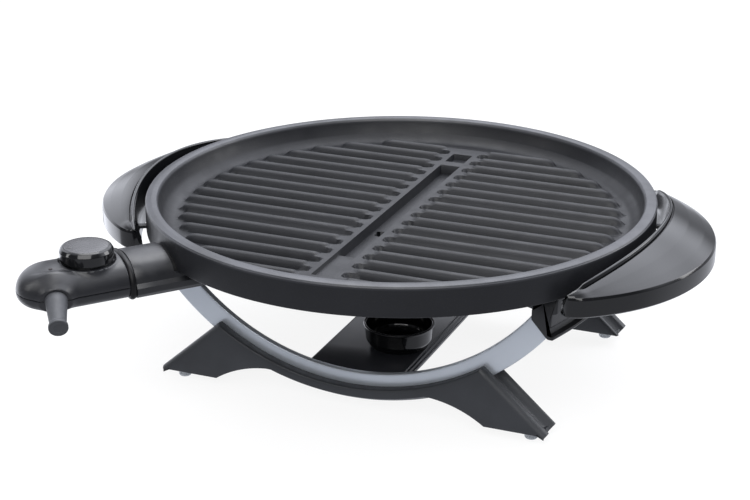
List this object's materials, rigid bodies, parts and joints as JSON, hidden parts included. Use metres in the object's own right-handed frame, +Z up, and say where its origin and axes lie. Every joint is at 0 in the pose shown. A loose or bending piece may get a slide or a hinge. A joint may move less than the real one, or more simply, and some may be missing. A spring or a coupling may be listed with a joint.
{
  "type": "tabletop electric grill",
  "caption": "Round ribbed grill plate with crescent handles on a curved two-arch base, with a plug-in temperature controller and a loose drip cup.",
  "frame": {"origin": "on the table under the centre of the round plate", "axes": "+Z up along the plate's axis, -Y towards the front arch, +X towards the right handle"},
  "size_m": [0.524, 0.4958, 0.1515],
  "materials": {
    "coated_cast": "satin, fine speckle",
    "heater_steel": "dull",
    "bare_aluminium": "as cast",
    "screw_steel": "zinc plated",
    "shroud_black": "satin",
    "satin_black": "satin",
    "ring_black": "satin",
    "gloss_black": "glossy",
    "brass": "bright",
    "ceramic_buff": "matt",
    "lamp_red": "glossy",
    "grey_rubber": "matt",
    "cap_grey": "satin",
    "anodised_aluminium": "anodised, satin",
    "matt_charcoal": "matt",
    "clear_rubber": "translucent"
  },
  "bodies": {
    "base": {"front_arch": "anodised_aluminium", "rear_arch": "anodised_aluminium", "left_side_rail": "satin_black", "right_side_rail": "satin_black", "bridge_plate": "satin_black", "front_leg_frame": "matt_charcoal", "rear_leg_frame": "matt_charcoal", "front_left_foot": "clear_rubber", "front_right_foot": "clear_rubber", "rear_left_foot": "clear_rubber", "rear_right_foot": "clear_rubber", "bridge_screws": "screw_steel", "arch_screws": "screw_steel"},
    "griddle": {"grill_plate": "coated_cast", "heating_element": "heater_steel", "element_clamps": "bare_aluminium", "clamp_screws": "screw_steel", "inlet_shroud": "shroud_black", "terminal_pins": "screw_steel", "probe_socket": "bare_aluminium", "left_handle": "gloss_black", "right_handle": "gloss_black", "handle_pegs": "screw_steel"},
    "controller": {"plug_nose": "satin_black", "collar_ring": "ring_black", "upper_shell": "satin_black", "lower_shell": "satin_black", "contact_sockets": "brass", "probe_rod": "screw_steel", "thermostat_switch": "ceramic_buff", "terminal_block": "ceramic_buff", "indicator_lamp": "lamp_red", "strain_relief": "grey_rubber", "controller_screws": "screw_steel"},
    "knob": {"control_knob": "gloss_black", "knob_cap": "cap_grey", "knob_spindle": "screw_steel"},
    "cup": {"drip_cup": "gloss_black"}
  },
  "joints": [
    {"name": "plate_lift", "type": "slide", "parent": "base", "child": "griddle", "axis": [0, 0, 1], "range_m": [0, 0.06]},
    {"name": "controller_pull", "type": "slide", "parent": "griddle", "child": "controller", "axis": [-0.6428, -0.766, 0], "range_m": [0, 0.09]},
    {"name": "knob_turn", "type": "hinge", "parent": "controller", "child": "knob", "pos_m": [-0.17612, -0.2099, 0.137], "axis": [0, 0, -1], "range_deg": [0, 270]},
    {"name": "cup_lift", "type": "slide", "parent": "base", "child": "cup", "axis": [0, 0, 1], "range_m": [0, 0.045]}
  ]
}
